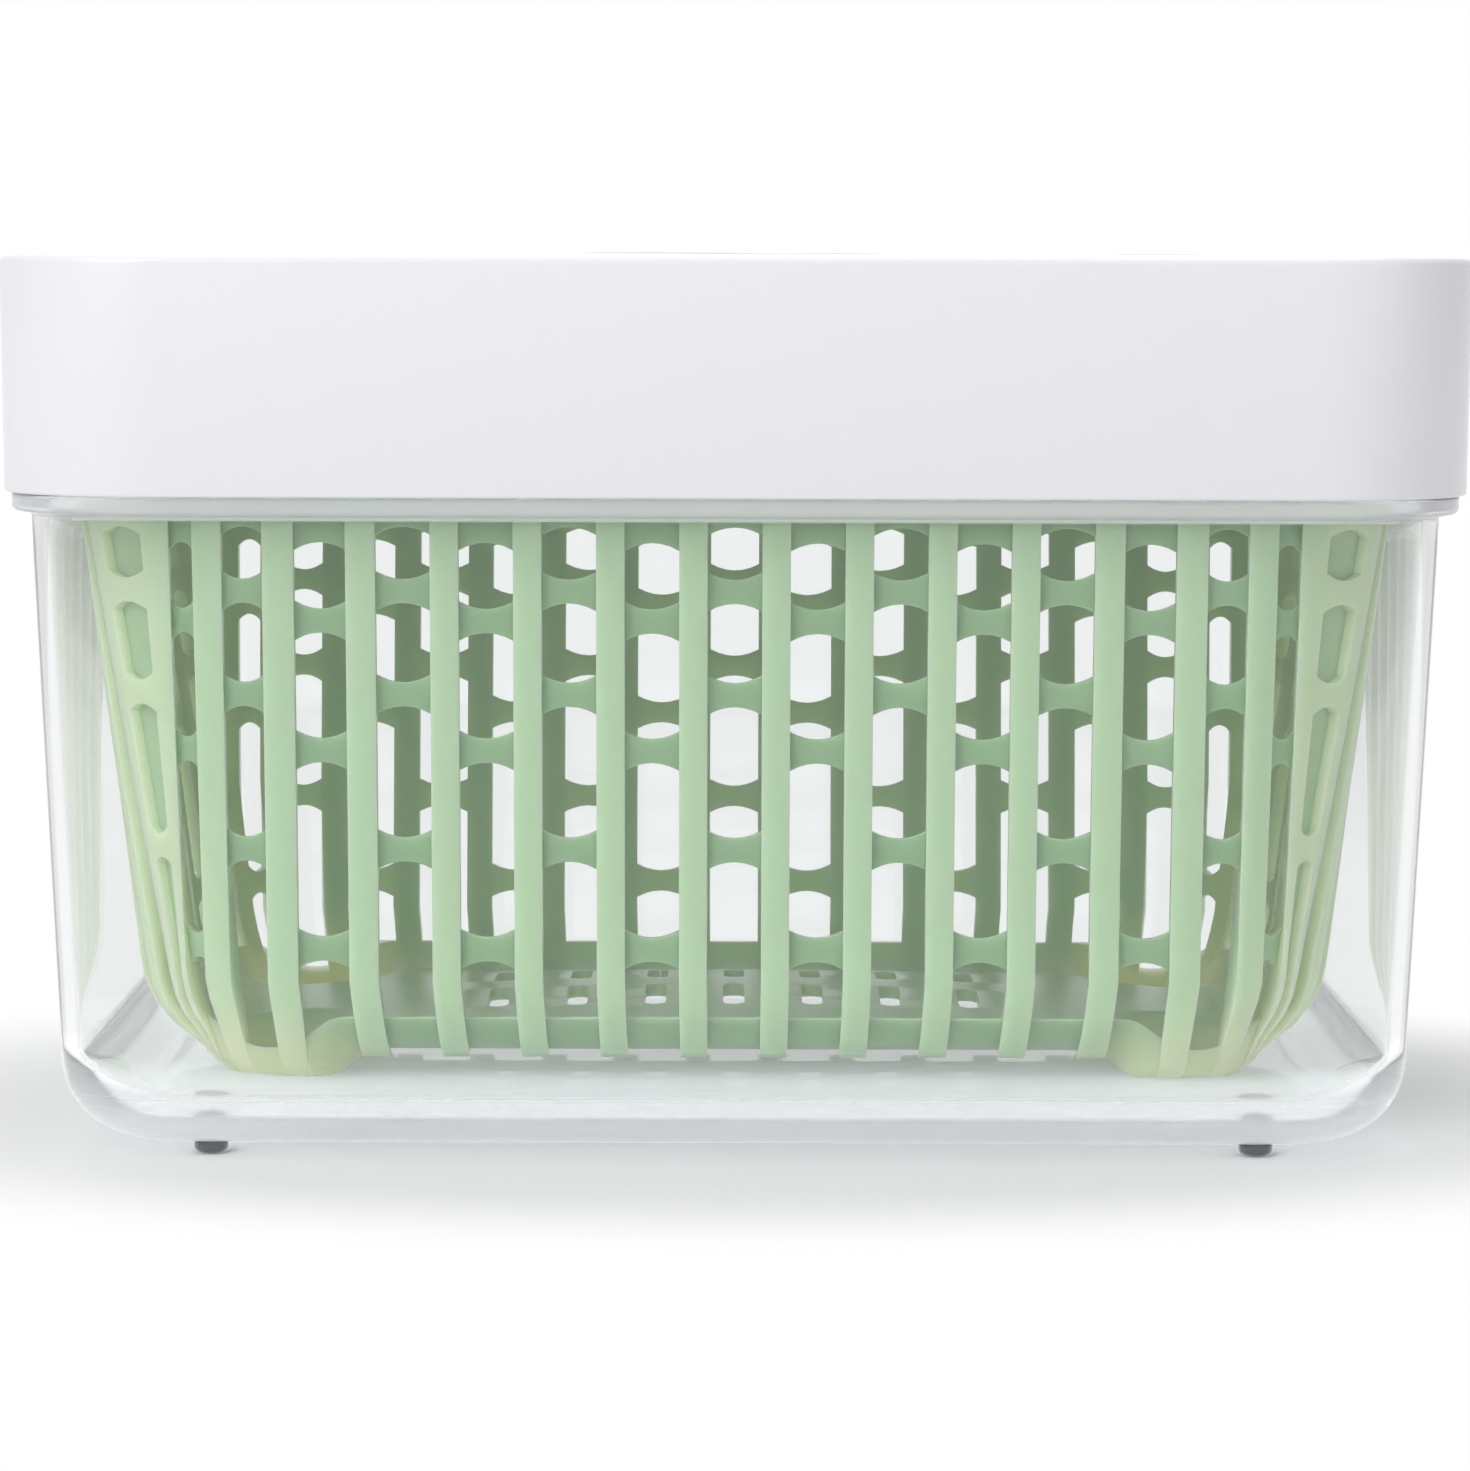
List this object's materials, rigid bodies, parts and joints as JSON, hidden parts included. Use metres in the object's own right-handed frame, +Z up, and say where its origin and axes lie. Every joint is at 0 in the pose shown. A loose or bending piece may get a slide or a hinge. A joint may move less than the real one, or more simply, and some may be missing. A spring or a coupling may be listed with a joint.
{
  "type": "produce keeper",
  "caption": "Clear tub on soft feet with a slotted ribbed basket inside and a deep white lid that has a turning air vent, a filter bay with a door, and a date dial.",
  "frame": {"origin": "on the surface that the feet stand on, under the middle of the tub", "axes": "+X along the long side to the right, +Y to the back, +Z up"},
  "size_m": [0.197, 0.133, 0.121],
  "materials": {
    "clear_plastic": "clear, polished",
    "foot_rubber": "dark slate, smooth",
    "green_plastic": "pale green, slightly milky, satin",
    "white_plastic": "white, satin gloss",
    "vent_plastic": "pale green, satin gloss",
    "inner_plastic": "white, satin",
    "filter_cloth": "dark grey felt pouch"
  },
  "bodies": {
    "tub": {"container": "clear_plastic", "foot_front_left": "foot_rubber", "foot_front_right": "foot_rubber", "foot_back_left": "foot_rubber", "foot_back_right": "foot_rubber"},
    "inner_basket": {"basket": "green_plastic"},
    "lid": {"lid_shell": "white_plastic", "filter_housing": "inner_plastic", "carbon_filter": "filter_cloth"},
    "vent": {"vent_dial": "vent_plastic", "vent_clip": "inner_plastic"},
    "filter_door": {"filter_cover": "inner_plastic"},
    "date": {"date_dial": "vent_plastic"}
  },
  "joints": [
    {"name": "basket_lift", "type": "slide", "parent": "tub", "child": "inner_basket", "axis": [0, 0, 1], "range_m": [0, 0.095]},
    {"name": "lid_lift", "type": "slide", "parent": "inner_basket", "child": "lid", "axis": [0, 0, 1], "range_m": [0, 0.06]},
    {"name": "vent_turn", "type": "hinge", "parent": "lid", "child": "vent", "pos_m": [0, 0, 0.1159], "axis": [0, 0, 1], "range_deg": [0, 45]},
    {"name": "door_swing", "type": "hinge", "parent": "lid", "child": "filter_door", "pos_m": [0, 0.0312, 0.0991], "axis": [1, 0, 0], "range_deg": [0, 95]},
    {"name": "date_turn", "type": "hinge", "parent": "lid", "child": "date", "pos_m": [0.064, 0, 0.1193], "axis": [0, 0, 1], "continuous": true}
  ]
}
